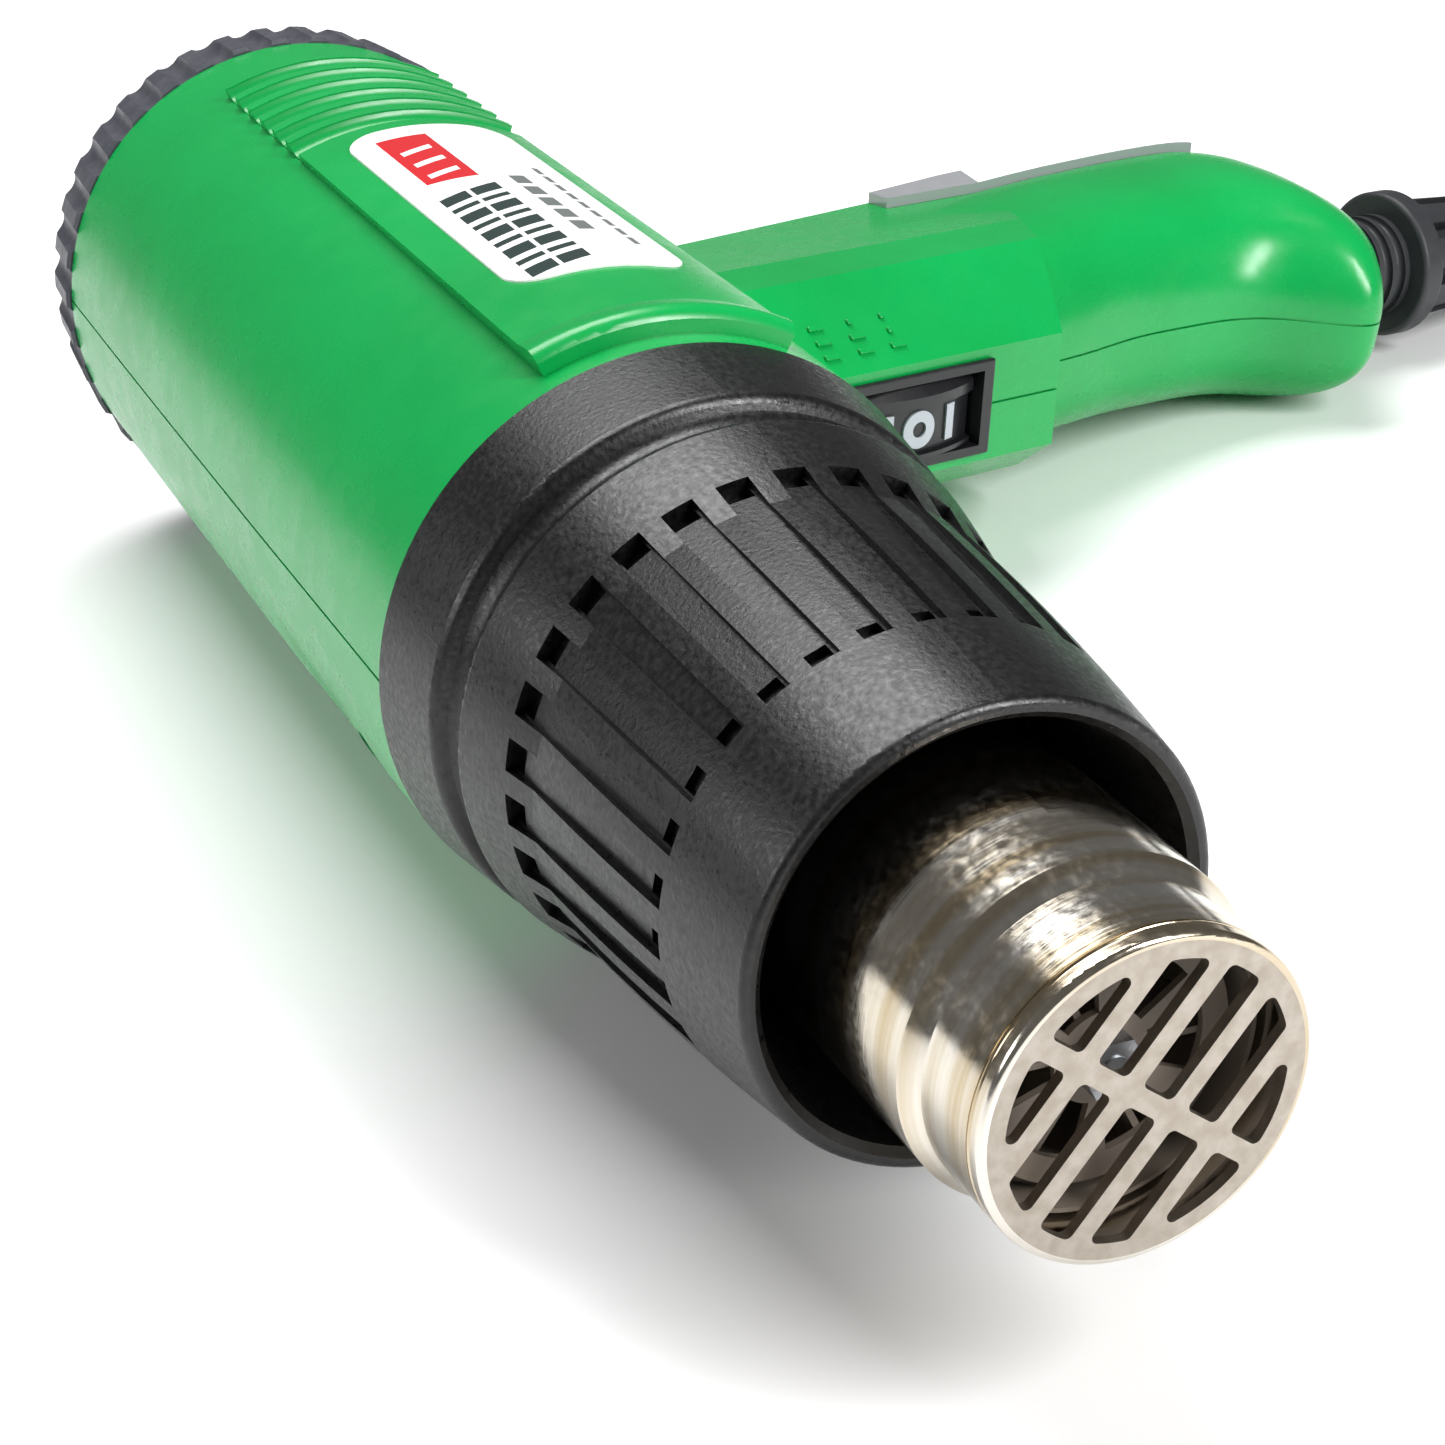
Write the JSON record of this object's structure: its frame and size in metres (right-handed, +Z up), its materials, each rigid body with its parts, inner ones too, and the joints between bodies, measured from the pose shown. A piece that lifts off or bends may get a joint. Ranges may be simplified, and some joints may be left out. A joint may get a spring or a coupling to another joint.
{
  "type": "heat gun",
  "caption": "Pistol-grip hot air gun with a slotted nose collar, steel outlet tube with grille, scalloped rear intake cap, three-position rocker switch, mains cord and plug.",
  "frame": {"origin": "middle of the footprint of the gun and its cord boot, on the surface that it lies on; the cord, its coil and its plug are not counted", "axes": "+X along the barrel and out of the nozzle, +Y towards the end of the handle, +Z up from the surface that it lies on"},
  "size_m": [0.2802, 0.3974, 0.0776],
  "materials": {
    "green_abs": "satin moulded ABS",
    "black_nylon": "fine spark-eroded grain",
    "grey_plastic": "moulded, fine grain",
    "black_plastic": "satin moulded",
    "mark_print": "light grey print",
    "nickel_steel": "nickel-plated, turned",
    "label_film": "printed gloss film",
    "backstrap_elastomer": "glossy elastomer",
    "cord_rubber": "satin rubber",
    "cord_tie": "satin",
    "plug_plastic": "moulded",
    "brass": "stamped",
    "mica": "micanite sheet",
    "resistance_wire": "bright drawn",
    "steel": "zinc plated",
    "ceramic": "unglazed steatite",
    "gasket_fibre": "pressed fibre",
    "thermal_fuse": "drawn case",
    "duct_plastic": "moulded",
    "magnet_ferrite": "sintered ferrite",
    "copper": "enamelled wire",
    "bronze": "sintered bronze",
    "carbon": "carbon graphite",
    "brush_brass": "folded",
    "board_laminate": "phenolic paper board",
    "diode_case": "moulded epoxy",
    "lead_pvc": "silicone covered lead"
  },
  "bodies": {
    "gun": {"backstrap_pad": "backstrap_elastomer", "base_screws": "steel", "board_posts": "duct_plastic", "brush_holders": "brush_brass", "carbon_brushes": "carbon", "centre_rod": "steel", "clamp_anvil": "duct_plastic", "clamp_screws": "steel", "cord_boot": "cord_rubber", "cord_clamp": "duct_plastic", "cord_coil": "cord_rubber", "cord_inner_end": "cord_rubber", "cord_tail": "cord_rubber", "cord_tie": "cord_tie", "element_terminals": "brass", "flow_guide": "duct_plastic", "heater_base": "ceramic", "heater_leads": "lead_pvc", "heating_wire": "resistance_wire", "housing_screws": "steel", "label": "label_film", "left_housing": "green_abs", "mains_leads": "lead_pvc", "mica_end_disc": "mica", "mica_former": "mica", "mica_sleeve": "mica", "motor_can": "steel", "motor_end_cap": "duct_plastic", "motor_leads": "lead_pvc", "motor_magnets": "magnet_ferrite", "motor_mount": "duct_plastic", "nose_collar": "black_nylon", "nozzle_clamp_ring": "steel", "nozzle_gasket": "gasket_fibre", "nozzle_tube": "nickel_steel", "outlet_grille": "nickel_steel", "plug_body": "plug_plastic", "plug_pins": "brass", "power_cord": "cord_rubber", "rear_intake_cap": "grey_plastic", "rectifier_board": "board_laminate", "rectifier_diodes": "diode_case", "right_housing": "green_abs", "rod_nuts": "steel", "shaft_bushes": "bronze", "suppression_capacitor": "diode_case", "switch_bezel": "black_plastic", "switch_body": "black_plastic", "switch_leads": "lead_pvc", "switch_terminals": "brass", "terminal_block": "duct_plastic", "thermal_cutout": "steel", "thermal_fuse": "thermal_fuse"},
    "rotor": {"motor_shaft": "steel", "armature_core": "steel", "armature_windings": "copper", "commutator": "brass", "impeller": "duct_plastic"},
    "rocker": {"switch_rocker": "black_plastic", "rocker_marks": "mark_print"}
  },
  "joints": [
    {"name": "fan_spin", "type": "hinge", "parent": "gun", "child": "rotor", "pos_m": [-0.0588, -0.08774, 0.0382], "axis": [1, 0, 0], "continuous": true},
    {"name": "rocker_tilt", "type": "hinge", "parent": "gun", "child": "rocker", "pos_m": [-0.03228, -0.02606, 0.02972], "axis": [0, 0.1362, 0.9907], "range_deg": [-9, 9]}
  ]
}
